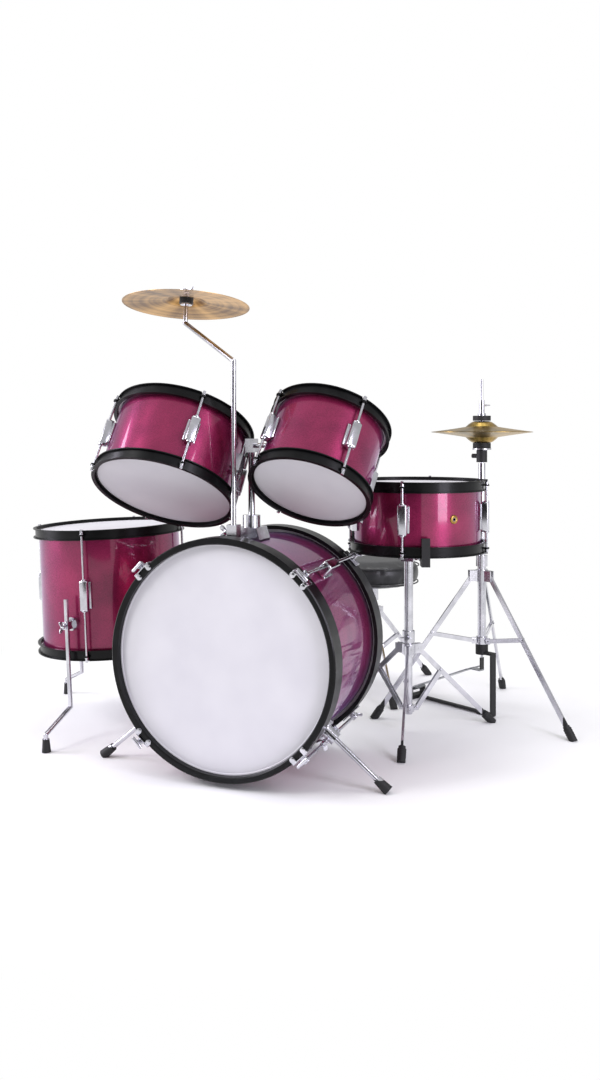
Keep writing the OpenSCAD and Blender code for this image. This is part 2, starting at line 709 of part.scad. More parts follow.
// rubber sleeve round the arm's hooked end
module basket_grip() difference() {
  union() {
    translate([snare_r - 6, -8, -5]) cube([basket_r + 8 - snare_r + 6, 16, 13.2]);
    translate([basket_r - 0.8, -8, -5]) cube([9, 16, 54]);
  }
  translate([0, -4 - gap, -2 - gap]) cube([basket_r + 5 + gap, 8 + 2 * gap, 4 + 2 * gap]);
  translate([basket_r - gap, -4 - gap, -2]) cube([4 + 2 * gap, 8 + 2 * gap, 30 + gap]);
}

// ---------- hi-hat ----------

module at_hihat() on_floor() translate(hihat_at) children();
hihat_leg_turn = -32;

// tubes, tripod hub, lower collar, spring housing and pedal frame
module hihat_stand() color("Silver") at_hihat() {
  difference() {
    union() {
      translate([0, 0, 150]) cylinder(r = tube_r, h = 190);
      translate([0, 0, 330]) cylinder(r = inner_tube_r, h = 236);
      translate([0, 0, 334]) cylinder(r = 13, h = 24);
      translate([0, 0, hihat_hub_z]) tripod_hub(14, 26, hihat_leg_turn);
      translate([0, 0, hihat_collar_z]) tripod_collar(13, 16, hihat_leg_turn);
      translate([0, 0, 136]) cylinder(r = 14, h = 22);
      translate([0, 0, 137]) rotate([0, 0, hihat_pedal_turn])
        translate([-33, -8.5, 0]) cube([34, 17, 5]);
    }
    translate([0, 0, 100]) cylinder(r = 4, h = 600);
    translate([0, 0, 100]) cylinder(r = 8, h = 50);
  }
  rotate([0, 0, hihat_pedal_turn]) {
    translate([-33, -8.5, 1]) cube([4, 17, 141]);
    translate([-33, -8.5, 1]) cube([42, 17, 5]);
    translate([8, -5, 2]) cube([192, 10, 5]);
    translate([186, -26, 0]) cube([22, 52, 8]);
    for (side = [-1, 1]) translate([190, side * 22 - 3, 7]) cube([14, 6, 19]);
  }
}

module hihat_legs() color("Silver") at_hihat() around(3, hihat_leg_turn) {
  tripod_leg(hihat_hub_z, hihat_leg_foot, hihat_collar_z, 115);
  tripod_boot(hihat_hub_z, hihat_leg_foot);
}

// pull rod through the tubes, with the clutch that carries the top cymbal
module hihat_pull_rod() color("Silver") at_hihat() {
  translate([0, 0, 128]) cylinder(r = 3, h = 627);
  translate([0, 0, hihat_z + 25.6]) ring(20, 6.2, 11);
  translate([0, 0, hihat_z + 14]) ring(6, 2.9, 58);
  translate([0, 0, hihat_z + 37]) ring(9, 5, 5);
  translate([0, 0, hihat_z + 60]) rotate([0, 90, -20]) translate([0, 0, 5]) cylinder(r = 2, h = 8);
  translate([0, 0, hihat_z + 60]) rotate([0, 90, -20]) translate([-1.2, -5, 11.5])
    cube([2.4, 10, 7]);
}

module hihat_cymbal_top() color("DarkGoldenrod") at_hihat() translate([0, 0, hihat_z + 0.2])
  cymbal(hihat_r, 36, 23, 6.4, 1.1);

module hihat_cymbal_bottom() color("DarkGoldenrod") at_hihat()
  translate([0, 0, hihat_z - 0.2]) mirror([0, 0, 1]) cymbal(hihat_r, 36, 23, 9, 1.1);

// felt, seat cup and tilter under the bottom cymbal
module hihat_seat() color("DimGray") at_hihat() difference() {
  union() {
    translate([0, 0, hihat_z - 36.6]) cylinder(r = 20, h = 12);
    translate([0, 0, hihat_z - 40]) cylinder(r = 21, h = 3.2);
    translate([0, 0, hihat_z - 68]) cylinder(r = 12, h = 28.5);
    translate([0, 0, hihat_z - 54]) rotate([0, -90, -20]) cylinder(r = 5, h = 24);
  }
  translate([0, 0, 500]) cylinder(r = 4, h = 120);
  translate([0, 0, 500]) cylinder(r = inner_tube_r + slack, h = 67);
}

module at_footboard() at_hihat() rotate([0, 0, hihat_pedal_turn])
  translate([197, 0, 22]) rotate([0, footboard_slope, 0]) children();

module hihat_footboard() color("Silver") at_footboard() {
  rotate([90, 0, 0]) translate([0, 0, -18.5]) cylinder(r = 4, h = 37);
  translate([-188, -27, 2]) cube([176, 54, 3]);
  translate([-14, -16, -2]) cube([14, 32, 6]);
  translate([-188, 0, 3]) rotate([0, -footboard_slope, 0])
    translate([-26, -8, -2]) cube([30, 16, 3]);
}

// strap from the footboard's toe up to the pull rod
module hihat_strap() color("DimGray") at_hihat() {
  rotate([0, 0, hihat_pedal_turn]) translate([-1.5, -6, 101]) cube([3, 12, 26.9]);
}

// ---------- throne ----------

module at_throne() on_floor() translate(throne_at) children();

module throne_seat() color("DimGray") at_throne() {
  translate([0, 0, seat_top - 60]) rotate_extrude() polygon([
    [0, 0], [seat_r - 8, 0], [seat_r, 6], [seat_r, 48], [seat_r - 10, 57],
    [seat_r - 30, 60], [0, 60]
  ]);
  translate([0, 0, seat_top - 64.2]) cylinder(r = 50, h = 4);
  translate([0, 0, seat_top - 104]) ring(14, 8 + slack, 40);
}

module throne_base() color("Silver") at_throne() {
  translate([0, 0, 78]) cylinder(r = 8, h = seat_top - 70 - 78);
  translate([0, 0, throne_hub_z]) tripod_hub(14, 22, throne_turn);
  translate([0, 0, throne_collar_z]) tripod_collar(12, 14, throne_turn);
  around(3, throne_turn) {
    tripod_leg(throne_hub_z, throne_foot, throne_collar_z, 88);
    tripod_boot(throne_hub_z, throne_foot);
  }
}

// ---------- bass pedal ----------

module pedal_frame() color("Silver") on_floor() difference() {
  union() {
    for (side = [-1, 1]) translate([side * 42 - 5, axle_y - 8, 1]) cube([10, 16, axle_z + 8]);
    translate([-47, axle_y - 8, 1]) cube([94, 30, 8]);
    translate([-20, bass_depth - 6, 1]) cube([40, axle_y - bass_depth + 2, 8.5]);
    translate([-14, bass_depth + bass_hoop_out + 1, 1]) cube([28, 10, 24]);
    translate([-4, axle_y + 20, 2]) cube([8, heel_y - axle_y - 20, 5]);
    translate([-30, heel_y - 8, 0]) cube([60, 22, 9]);
    for (side = [-1, 1]) translate([side * 26 - 4, heel_y - 4, 8]) cube([8, 14, 18]);
  }
  translate([-60, axle_y, axle_z]) rotate([0, 90, 0]) cylinder(r = 4 + slack, h = 120);
  translate([-60, heel_y + 3, 19]) rotate([0, 90, 0]) cylinder(r = 3 + slack, h = 120);
}

board_slope = 24;

// footboard, its heel pin and the strap from its toe to the cam
module pedal_footboard() color("Silver") {
  on_floor() translate([0, heel_y + 3, 19]) rotate([0, 90, 0]) translate([0, 0, -31])
    cylinder(r = 3, h = 62);
  on_floor() translate([0, heel_y + 3, 19]) rotate([-board_slope, 0, 0]) {
    translate([-28, -190, 1.5]) cube([56, 176, 4]);
    translate([-20, -16, -2]) cube([40, 16, 6]);
  }
  on_floor() translate([-7, axle_y - 22.6, 94]) cube([14, 2.2, axle_z - 94]);
}

// axle with its cam, the beater's shaft and the felt head
module pedal_beater() color("Silver") on_floor() translate([0, axle_y, axle_z]) {
  rotate([0, 90, 0]) translate([0, 0, -50]) cylinder(r = 4, h = 100);
  rotate([0, 90, 0]) translate([0, 0, -9]) cylinder(r = 20, h = 18);
  rotate([-34, 0, 0]) {
    cylinder(r = 3, h = 112);
    translate([0, 0, 112]) rotate([90, 0, 0]) translate([0, 0, -14]) cylinder(r = 17, h = 30);
  }
}

// ---------- drawn nodes ----------

bass_shell();
bass_hoops();
bass_heads();
fixed_lugs();
bass_claws();
bass_rods();
shell_brackets();
spur_left();
spur_right();
wing_bolts();
mount_base();
tom_post();
tom_arm_left();
tom_arm_right();
crash_rod();
crash_cymbal();
crash_felts();
crash_wing_nut();
tom_left_shell();
tom_left_hoops();
tom_left_heads();
tom_left_lugs();
tom_left_rods();
tom_left_bracket();
tom_right_shell();
tom_right_hoops();
tom_right_heads();
tom_right_lugs();
tom_right_rods();
tom_right_bracket();
floor_shell();
floor_hoops();
floor_heads();
floor_rods();
floor_legs();
snare_shell();
snare_hoops();
snare_heads();
snare_lugs();
snare_rods();
snare_strainer();
snare_lever();
snare_wires();
snare_stand_base();
snare_stand_legs();
snare_stand_tube();
snare_basket();
hihat_stand();
hihat_legs();
hihat_pull_rod();
hihat_cymbal_top();
hihat_cymbal_bottom();
hihat_seat();
hihat_footboard();
hihat_strap();
throne_seat();
throne_base();
pedal_frame();
pedal_footboard();
pedal_beater();
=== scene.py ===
# %% [markdown]
# # A small drum kit
# This lesson dresses a drum kit that was built in CAD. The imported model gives
# the size and place of every part, and each cell adds one finish or one piece.

from math import atan2, cos, degrees, pi, radians, sin

import bpy
from mathutils import Matrix, Vector


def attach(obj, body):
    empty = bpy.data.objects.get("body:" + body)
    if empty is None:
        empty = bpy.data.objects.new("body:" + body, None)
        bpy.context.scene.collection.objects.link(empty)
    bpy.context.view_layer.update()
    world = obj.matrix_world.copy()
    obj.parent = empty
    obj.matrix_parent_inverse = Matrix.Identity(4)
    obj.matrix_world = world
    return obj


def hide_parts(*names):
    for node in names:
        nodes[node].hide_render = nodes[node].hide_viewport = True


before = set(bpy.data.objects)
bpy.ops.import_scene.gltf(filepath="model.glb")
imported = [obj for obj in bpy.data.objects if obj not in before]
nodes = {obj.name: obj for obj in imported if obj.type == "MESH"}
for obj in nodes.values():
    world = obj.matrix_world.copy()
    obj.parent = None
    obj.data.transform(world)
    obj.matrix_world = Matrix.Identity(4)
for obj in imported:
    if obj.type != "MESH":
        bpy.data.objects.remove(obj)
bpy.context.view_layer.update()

print("CAD parts:", len(nodes))

# %% [markdown]
# ## Where things stand
# Every drum has its own frame, so a fitting is made once, at the origin, and
# then carried to its place on the drum. These are the same turns and steps
# that the CAD part is laid out with, in millimetres from the bass drum's foot.

# %% Frames of the drums and stands
LAYOUT_CENTRE = (-29.0, 445.2)


def place(x, y, z):
    """The matrix for a point of the layout, whose middle is the scene's origin."""
    return Matrix.Translation(((x - LAYOUT_CENTRE[0]) / 1000, (y - LAYOUT_CENTRE[1]) / 1000, z / 1000))


def step(x, y, z):
    return Matrix.Translation((x / 1000, y / 1000, z / 1000))


def turn(angle, axis):
    return Matrix.Rotation(radians(angle), 4, axis)


BASS = place(0, 0, 228) @ turn(-90, "X")
BIG_TOM = place(-150, 61, 523) @ turn(-4, "Z") @ turn(-31.4, "X")
SMALL_TOM = place(147, 54, 531) @ turn(-8, "Z") @ turn(-35.6, "X")
FLOOR_TOM = place(-408, 313, 171) @ turn(2.5, Vector((0.347, -0.938, 0)))
SNARE = place(270, 356, 403)
CRASH = place(-156, 166, 888) @ turn(-6.5, "X")
HIHAT = place(355, 623, 0)
THRONE = place(58, 768, 0)
SNARE_STAND = place(232, 438, 0)

# Radius and length of each drum's shell, in mm. The toms share one length.
BASS_R = 203
BASS_DEPTH = 272
BIG_TOM_R = 127
SMALL_TOM_R = 101.6
TOM_DEPTH = 145
FLOOR_TOM_R = 152.4
FLOOR_TOM_DEPTH = 254
SNARE_R = 127
SNARE_DEPTH = 128
print("bass drum", 2 * BASS_R, "mm across and", BASS_DEPTH, "mm deep")

# %% [markdown]
# ## Small helpers
# A material is a network of nodes. One function adds a node, gives it its
# settings and links it. Colours are picked as web hex values, and a renderer
# works in linear light, so another function turns them.

# %% Colour and node helpers


def linear(hex_code):
    channels = [int(hex_code[i:i + 2], 16) / 255 for i in (1, 3, 5)]
    return tuple(c / 12.92 if c < 0.04045 else ((c + 0.055) / 1.055) ** 2.4 for c in channels) + (1.0,)


def add(material, kind, settings=None, stops=(), **inputs):
    """Adds a node; an input is a value or another node's output, stops are a colour ramp's."""
    made = material.node_tree.nodes.new(kind)
    for name, value in (settings or {}).items():
        setattr(made, name, value)
    for i, (position, colour) in enumerate(stops):
        made.color_ramp.elements[i].position = position
        made.color_ramp.elements[i].color = linear(colour)
    for name, value in inputs.items():
        socket = made.inputs[int(name[1:])] if name[1:].isdigit() else made.inputs[name.replace("_", " ")]
        if isinstance(value, bpy.types.NodeSocket):
            material.node_tree.links.new(value, socket)
        else:
            socket.default_value = value
    return made


def start_material(name, **values):
    material = bpy.data.materials.new(name)
    material.use_nodes = True
    shader = material.node_tree.nodes["Principled BSDF"]
    for key, value in values.items():
        shader.inputs[key.replace("_", " ")].default_value = value
    return material, shader


def link(material, out, into):
    material.node_tree.links.new(out, into)


def per_mm(size_mm):
    """Texture scale for a pattern whose repeat is this many millimetres."""
    return 1000 / size_mm


print("mid grey in linear light:", linear("#808080")[0])

# %% [markdown]
# ## Drum wrap
# The shells are thin wood tubes with a sheet of plastic glued round them. The
# sheet has metal flake under a clear skin, so it is glossy on top and glints
# below. Flakes are about half a millimetre; they are drawn coarser here, so
# that they still show at this size. Slow clouds vary the wine colour, and a
# thin violet sheen cools the sides that turn away.

# %% Wine metallic drum wrap


def make_wrap():
    material, shader = start_material(
        "wine metallic wrap", Metallic=0.6, Coat_Weight=0.8, Coat_Roughness=0.05,
        Sheen_Weight=0.18, Sheen_Roughness=0.4, Sheen_Tint=linear("#A98AE0"))
    coords = add(material, "ShaderNodeTexCoord").outputs["Object"]
    flake = add(material, "ShaderNodeTexVoronoi", Vector=coords, Scale=per_mm(1.2))
    cloud = add(material, "ShaderNodeTexNoise", Vector=coords, Scale=per_mm(60), Detail=3.0)
    mixed = add(material, "ShaderNodeMath", {"operation": "MULTIPLY_ADD"},
                _0=flake.outputs["Distance"], _1=0.35, _2=cloud.outputs["Fac"])
    colour = add(material, "ShaderNodeValToRGB", Fac=mixed.outputs[0],
                 stops=[(0.35, "#6C163A"), (0.95, "#9A2A54")])
    link(material, colour.outputs["Color"], shader.inputs["Base Color"])
    gloss = add(material, "ShaderNodeMapRange", Value=flake.outputs["Distance"], To_Min=0.22, To_Max=0.36)
    link(material, gloss.outputs["Result"], shader.inputs["Roughness"])
    shader.inputs["Specular Tint"].default_value = linear("#B48CE0")
    bump = add(material, "ShaderNodeBump", Strength=0.05, Distance=0.0002, Height=flake.outputs["Distance"])
    link(material, bump.outputs[0], shader.inputs["Normal"])
    return material


wrap = make_wrap()
print("made:", wrap.name)

# %% [markdown]
# ## Black enamel
# The hoops are pressed steel, sprayed black and baked. Baked enamel has a
# faint orange peel a few millimetres across, which breaks up reflections, and
# a thin film of dust that dulls it unevenly.

# %% Black baked enamel


def make_enamel():
    material, shader = start_material("black baked enamel", Coat_Weight=0.06, Coat_Roughness=0.1)
    shader.inputs["Specular IOR Level"].default_value = 0.18
    coords = add(material, "ShaderNodeTexCoord").outputs["Object"]
    peel = add(material, "ShaderNodeTexNoise", Vector=coords, Scale=per_mm(4), Detail=2.0)
    dust = add(material, "ShaderNodeTexNoise", Vector=coords, Scale=per_mm(25), Detail=5.0)
    colour = add(material, "ShaderNodeValToRGB", Fac=dust.outputs["Fac"],
                 stops=[(0.3, "#050506"), (0.7, "#0E0F11")])
    link(material, colour.outputs["Color"], shader.inputs["Base Color"])
    gloss = add(material, "ShaderNodeMapRange", Value=dust.outputs["Fac"], To_Min=0.22, To_Max=0.4)
    link(material, gloss.outputs["Result"], shader.inputs["Roughness"])
    bump = add(material, "ShaderNodeBump", Strength=0.08, Distance=0.0003, Height=peel.outputs["Fac"])
    link(material, bump.outputs[0], shader.inputs["Normal"])
    return material


enamel = make_enamel()
print("made:", enamel.name)

# %% [markdown]
# ## Drum head film
# A head is a quarter-millimetre polyester film. The playing side is sprayed
# with a gritty white coat; grit of about 0.3 mm is drawn at 1.5 mm to show.
# The film's tone drifts slightly over a hand's breadth.

# %% Coated polyester head


def make_head():
    material, shader = start_material("coated polyester head", IOR=1.5)
    coords = add(material, "ShaderNodeTexCoord").outputs["Object"]
    grit = add(material, "ShaderNodeTexNoise", Vector=coords, Scale=per_mm(1.5), Detail=4.0)
    cloud = add(material, "ShaderNodeTexNoise", Vector=coords, Scale=per_mm(90), Detail=2.0)
    colour = add(material, "ShaderNodeValToRGB", Fac=cloud.outputs["Fac"],
                 stops=[(0.3, "#CDCBD2"), (0.7, "#D5D3D9")])
    link(material, colour.outputs["Color"], shader.inputs["Base Color"])
    gloss = add(material, "ShaderNodeMapRange", Value=grit.outputs["Fac"], To_Min=0.34, To_Max=0.5)
    link(material, gloss.outputs["Result"], shader.inputs["Roughness"])
    bump = add(material, "ShaderNodeBump", Strength=0.12, Distance=0.0002, Height=grit.outputs["Fac"])
    link(material, bump.outputs[0], shader.inputs["Normal"])
    return material


head_film = make_head()
print("made:", head_film.name)

# %% [markdown]
# ## Plated metals
# The lugs, rods and legs are chromium plated: nearly a mirror, with wiped
# smudges that dull it here and there. The pedals are cast alloy, brushed and
# less bright. Brass, polished by hand, is only used for the snare's air hole.

# %% Chrome, brass and cast alloy


def make_metal(name, dark, light, wiped, smudged, grain_mm, peel):
    material, shader = start_material(name, Metallic=1.0)
    coords = add(material, "ShaderNodeTexCoord").outputs["Object"]
    smudge = add(material, "ShaderNodeTexNoise", Vector=coords, Scale=per_mm(30), Detail=6.0)
    grain = add(material, "ShaderNodeTexNoise", Vector=coords, Scale=per_mm(grain_mm), Detail=3.0)
    colour = add(material, "ShaderNodeValToRGB", Fac=smudge.outputs["Fac"],
                 stops=[(0.3, dark), (0.7, light)])
    link(material, colour.outputs["Color"], shader.inputs["Base Color"])
    gloss = add(material, "ShaderNodeMapRange", Value=smudge.outputs["Fac"], To_Min=wiped, To_Max=smudged)
    link(material, gloss.outputs["Result"], shader.inputs["Roughness"])
    bump = add(material, "ShaderNodeBump", Strength=peel, Distance=0.0002, Height=grain.outputs["Fac"])
    link(material, bump.outputs[0], shader.inputs["Normal"])
    return material


chrome = make_metal("chromium plate", "#BDBDC4", "#DEDDE4", 0.1, 0.26, 3, 0.04)
brass = make_metal("polished brass", "#8E6A30", "#C09A58", 0.15, 0.3, 2, 0.05)
alloy = make_metal("brushed cast alloy", "#8E9094", "#B6B8BC", 0.26, 0.42, 1.2, 0.2)
print("made:", chrome.name, "/", brass.name, "/", alloy.name)

# %% [markdown]
# ## Cymbal bronze
# A cymbal is hammered, then cut on a lathe with a hand tool. The tool leaves
# fine rings. The fan of paler and darker sectors is a painted highlight: it is
# drawn into the colour to stand in for the light that the rings catch.
# The rings follow the distance from the cymbal's own axis and the painted
# sectors the direction from it, so the pattern is centred on the cymbal and
# levelled with a Mapping node. Real tool marks are under a millimetre apart;
# they are drawn 2.2 mm apart to show.

# %% Lathed bronze


def make_bronze(name, centre, dark, light):
    material, shader = start_material(name, Metallic=1.0)
    middle = centre.to_translation()
    angles = centre.inverted().to_euler()
    coords = add(material, "ShaderNodeTexCoord").outputs["Object"]
    shifted = add(material, "ShaderNodeVectorMath", {"operation": "SUBTRACT"}, _0=coords, _1=middle)
    local = add(material, "ShaderNodeMapping", Vector=shifted.outputs[0], Rotation=angles)
    flat = add(material, "ShaderNodeVectorMath", {"operation": "MULTIPLY"},
               _0=local.outputs[0], _1=(1, 1, 0))
    away = add(material, "ShaderNodeVectorMath", {"operation": "LENGTH"}, _0=flat.outputs[0])
    along = add(material, "ShaderNodeCombineXYZ", X=away.outputs["Value"])
    rings = add(material, "ShaderNodeTexNoise", Vector=along.outputs[0], Scale=per_mm(2.2), Detail=2.0)
    bands = add(material, "ShaderNodeTexNoise", Vector=along.outputs[0], Scale=per_mm(14), Detail=1.0)
    both = add(material, "ShaderNodeMath", {"operation": "MULTIPLY_ADD"},
               _0=rings.outputs["Fac"], _1=0.5, _2=bands.outputs["Fac"])
    outward = add(material, "ShaderNodeVectorMath", {"operation": "NORMALIZE"}, _0=flat.outputs[0])
    # Painted highlight: noise on the outward direction gives paler and darker sectors in the colour, streaks
    # radiating from the centre like the fan of highlights on lathed bronze.
    painted_fan = add(material, "ShaderNodeTexNoise",
              Vector=outward.outputs[0], Scale=1.6, Detail=3.0, Roughness=0.6)
    fine = add(material, "ShaderNodeMath", {"operation": "MULTIPLY"}, _0=both.outputs[0], _1=0.35)
    rings_and_painted_fan = add(material, "ShaderNodeMath", {"operation": "MULTIPLY_ADD"},
               _0=painted_fan.outputs["Fac"], _1=0.75, _2=fine.outputs[0]).outputs[0]
    # The colour ramp mixes the real tool rings with the painted highlight fan, so its dark and light stops
    # carry both.
    colour = add(material, "ShaderNodeValToRGB", Fac=rings_and_painted_fan,
                 stops=[(0.52, dark), (0.74, light)])
    link(material, colour.outputs["Color"], shader.inputs["Base Color"])
    gloss = add(material, "ShaderNodeMapRange", Value=rings.outputs["Fac"], To_Min=0.22, To_Max=0.4)
    link(material, gloss.outputs["Result"], shader.inputs["Roughness"])
    bump = add(material, "ShaderNodeBump", Strength=0.35, Distance=0.0004, Height=rings.outputs["Fac"])
    link(material, bump.outputs[0], shader.inputs["Normal"])
    return material


crash_bronze = make_bronze("lathed bronze of the crash", CRASH, "#6E4A22", "#D6A868")
hihat_bronze = make_bronze("lathed bronze of the hi-hat", HIHAT, "#73602C", "#B89858")
print("made:", crash_bronze.name, "/", hihat_bronze.name)

# %% [markdown]
# ## Rubber, felt, plastic and leathercloth
# Feet are moulded rubber. The hi-hat's pull strap is nylon. Felt is pressed
# wool with fibres standing off it, which gives it a soft sheen. Leathercloth
# is vinyl rolled with a pebble grain of about 2 mm.

# %% Soft and dark materials


def make_dark(name, dark, light, rough, grain_mm, strength, sheen=0.0):
    material, shader = start_material(name, Sheen_Weight=sheen)
    coords = add(material, "ShaderNodeTexCoord").outputs["Object"]
    grain = add(material, "ShaderNodeTexNoise",
                Vector=coords, Scale=per_mm(grain_mm), Detail=5.0, Roughness=0.65)
    colour = add(material, "ShaderNodeValToRGB", Fac=grain.outputs["Fac"],
                 stops=[(0.3, dark), (0.7, light)])
    link(material, colour.outputs["Color"], shader.inputs["Base Color"])
    gloss = add(material, "ShaderNodeMapRange",
                Value=grain.outputs["Fac"], To_Min=rough - 0.08, To_Max=rough + 0.08)
    link(material, gloss.outputs["Result"], shader.inputs["Roughness"])
    bump = add(material, "ShaderNodeBump", Strength=strength, Distance=0.0004, Height=grain.outputs["Fac"])
    link(material, bump.outputs[0], shader.inputs["Normal"])
    return material


rubber = make_dark("moulded black rubber", "#0D0D0E", "#1C1C1E", 0.62, 1.5, 0.25)
plastic = make_dark("moulded black nylon", "#0E0E10", "#1A1A1D", 0.35, 3, 0.08)
felt = make_dark("pressed black felt", "#101011", "#2C2C2E", 0.9, 0.9, 0.7, 0.4)


def make_leathercloth():
    material, shader = start_material("black leathercloth", Coat_Weight=0.15, Coat_Roughness=0.3)
    coords = add(material, "ShaderNodeTexCoord").outputs["Object"]
    pebble = add(material, "ShaderNodeTexVoronoi", Vector=coords, Scale=per_mm(2.2))
    wear = add(material, "ShaderNodeTexNoise", Vector=coords, Scale=per_mm(45), Detail=4.0)
    colour = add(material, "ShaderNodeValToRGB", Fac=wear.outputs["Fac"],
                 stops=[(0.3, "#121214"), (0.7, "#222326")])
    link(material, colour.outputs["Color"], shader.inputs["Base Color"])
    gloss = add(material, "ShaderNodeMapRange", Value=pebble.outputs["Distance"], To_Min=0.5, To_Max=0.36)
    link(material, gloss.outputs["Result"], shader.inputs["Roughness"])
    bump = add(material, "ShaderNodeBump", Strength=0.3, Distance=0.0004, Height=pebble.outputs["Distance"])
    link(material, bump.outputs[0], shader.inputs["Normal"])
    return material


leathercloth = make_leathercloth()
print("made:", rubber.name, "/", plastic.name, "/", felt.name, "/", leathercloth.name)

# %% [markdown]
# ## Chrome parts with rubber or felt on them
# A leg and its foot are one CAD part, so its material has two finishes, and a
# test on the place decides which one shows. Spurs and floor tom legs are
# rubber below a height. Stand legs and basket arms splay out, so they change
# at a distance from the upright axis. The hi-hat's base is black below its
# tubes, its felt and the bright washer of its seat are bands of heights, and
# the bass beater's felt head is what lies far from its pivot.

# %% Metal with rubber ends


def metal_with_rubber(name, split):
    """split(material, coords) gives 1 where the surface is rubber."""
    material = chrome.copy()
    material.name = name
    tree = material.node_tree
    shader = tree.nodes["Principled BSDF"]
    rubber_part = add(material, "ShaderNodeBsdfPrincipled", Base_Color=linear("#131315"), Roughness=0.6)
    coords = add(material, "ShaderNodeTexCoord").outputs["Object"]
    grain = add(material, "ShaderNodeTexNoise", Vector=coords, Scale=per_mm(1.5), Detail=4.0)
    bump = add(material, "ShaderNodeBump", Strength=0.25, Distance=0.0004, Height=grain.outputs["Fac"])
    link(material, bump.outputs[0], rubber_part.inputs["Normal"])
    mix = add(material, "ShaderNodeMixShader",
              Fac=split(material, coords), _1=shader.outputs[0], _2=rubber_part.outputs[0])
    link(material, mix.outputs[0], tree.nodes["Material Output"].inputs["Surface"])
    return material


def below(height_mm):
    def split(material, coords):
        parts = add(material, "ShaderNodeSeparateXYZ", Vector=coords)
        return add(material, "ShaderNodeMath", {"operation": "LESS_THAN"},
                   _0=parts.outputs["Z"], _1=height_mm / 1000).outputs[0]
    return split


def between(low_mm, high_mm, wanted=1):
    """1 inside the band of heights, 0 outside it; wanted=0 turns that round."""
    def split(material, coords):
        height = add(material, "ShaderNodeSeparateXYZ", Vector=coords).outputs["Z"]
        middle = (low_mm + high_mm) / 2000
        off = add(material, "ShaderNodeMath", {"operation": "SUBTRACT"}, _0=height, _1=middle).outputs[0]
        away = add(material, "ShaderNodeMath", {"operation": "ABSOLUTE"}, _0=off).outputs[0]
        test = "LESS_THAN" if wanted else "GREATER_THAN"
        return add(material, "ShaderNodeMath", {"operation": test},
                   _0=away, _1=(high_mm - low_mm) / 2000).outputs[0]
    return split


def outside(centre, radius_mm, flatten=(1, 1, 0)):
    """1 beyond a distance from an upright axis, or from a point with flatten=(1, 1, 1)."""
    def split(material, coords):
        middle = centre.to_translation()
        shifted = add(material, "ShaderNodeVectorMath", {"operation": "SUBTRACT"}, _0=coords, _1=middle)
        flat = add(material, "ShaderNodeVectorMath", {"operation": "MULTIPLY"},
                   _0=shifted.outputs[0], _1=flatten)
        away = add(material, "ShaderNodeVectorMath", {"operation": "LENGTH"}, _0=flat.outputs[0])
        return add(material, "ShaderNodeMath", {"operation": "GREATER_THAN"},
                   _0=away.outputs["Value"], _1=radius_mm / 1000).outputs[0]
    return split


# The numbers are heights or distances in mm, where the CAD part changes.
snare_leg_metal = metal_with_rubber("snare stand legs", outside(SNARE_STAND, 176))
hihat_leg_metal = metal_with_rubber("hi-hat legs", outside(HIHAT, 224))
throne_leg_metal = metal_with_rubber("throne legs", outside(THRONE, 176))
floor_leg_metal = metal_with_rubber("floor tom leg with rubber foot", below(26.3))
spur_metal = metal_with_rubber("spur with rubber tip", below(22))
basket_metal = metal_with_rubber("basket arm with rubber grip", outside(SNARE, 120.5))
stand_metal = metal_with_rubber("hi-hat tubes over a black base", below(158.5))
seat_metal = metal_with_rubber("hi-hat seat with a bright washer", between(595.9, 599.3, 0))
clutch_metal = metal_with_rubber("hi-hat clutch with its felt", between(661.5, 672.7))
beater_metal = metal_with_rubber("beater with a felt head", outside(place(0, 316, 172), 95, (1, 1, 1)))
print("made:", len(bpy.data.materials), "materials so far")

# %% [markdown]
# ## Give every CAD part its finish
# The part's name says what it is, so a short table of endings picks the
# material. What isn't in the table is chrome.

# %% Dress the CAD parts
BY_ENDING = [
    ("_shell", wrap), ("_hoops", enamel), ("_heads", head_film), ("_felts", felt),
    ("crash_cymbal", crash_bronze), ("cymbal_top", hihat_bronze), ("cymbal_bottom", hihat_bronze),
    ("hihat_seat", seat_metal), ("hihat_stand", stand_metal), ("hihat_pull_rod", clutch_metal),
    ("hihat_strap", plastic), ("hihat_legs", hihat_leg_metal), ("hihat_footboard", alloy),
    ("snare_stand_legs", snare_leg_metal), ("snare_basket", basket_metal),
    ("floor_legs", floor_leg_metal), ("spur_left", spur_metal), ("spur_right", spur_metal),
    ("throne_base", throne_leg_metal), ("throne_seat", leathercloth),
    ("pedal_frame", alloy), ("pedal_footboard", alloy), ("pedal_beater", beater_metal),
]


def dress(part, material):
    part.data.materials.clear()
    part.data.materials.append(material)


for name, part in nodes.items():
    fitting = [m for ending, m in BY_ENDING if name.endswith(ending)]
    dress(part, fitting[0] if fitting else chrome)
print("dressed", len(nodes), "parts")

# %% [markdown]
# ## Modelling helpers
# A turned piece starts as a ring of edges. The ring is extruded, scaled and
# lifted step by step along a profile, as a potter draws a wall up. A piece is
# modelled round the origin in millimetres / 1000, then carried to its place.

# %% Start, shape and finish a piece


def deselect():
    if bpy.context.object and bpy.context.object.mode == "EDIT":
        bpy.ops.object.mode_set(mode="OBJECT")
    bpy.ops.object.select_all(action="DESELECT")


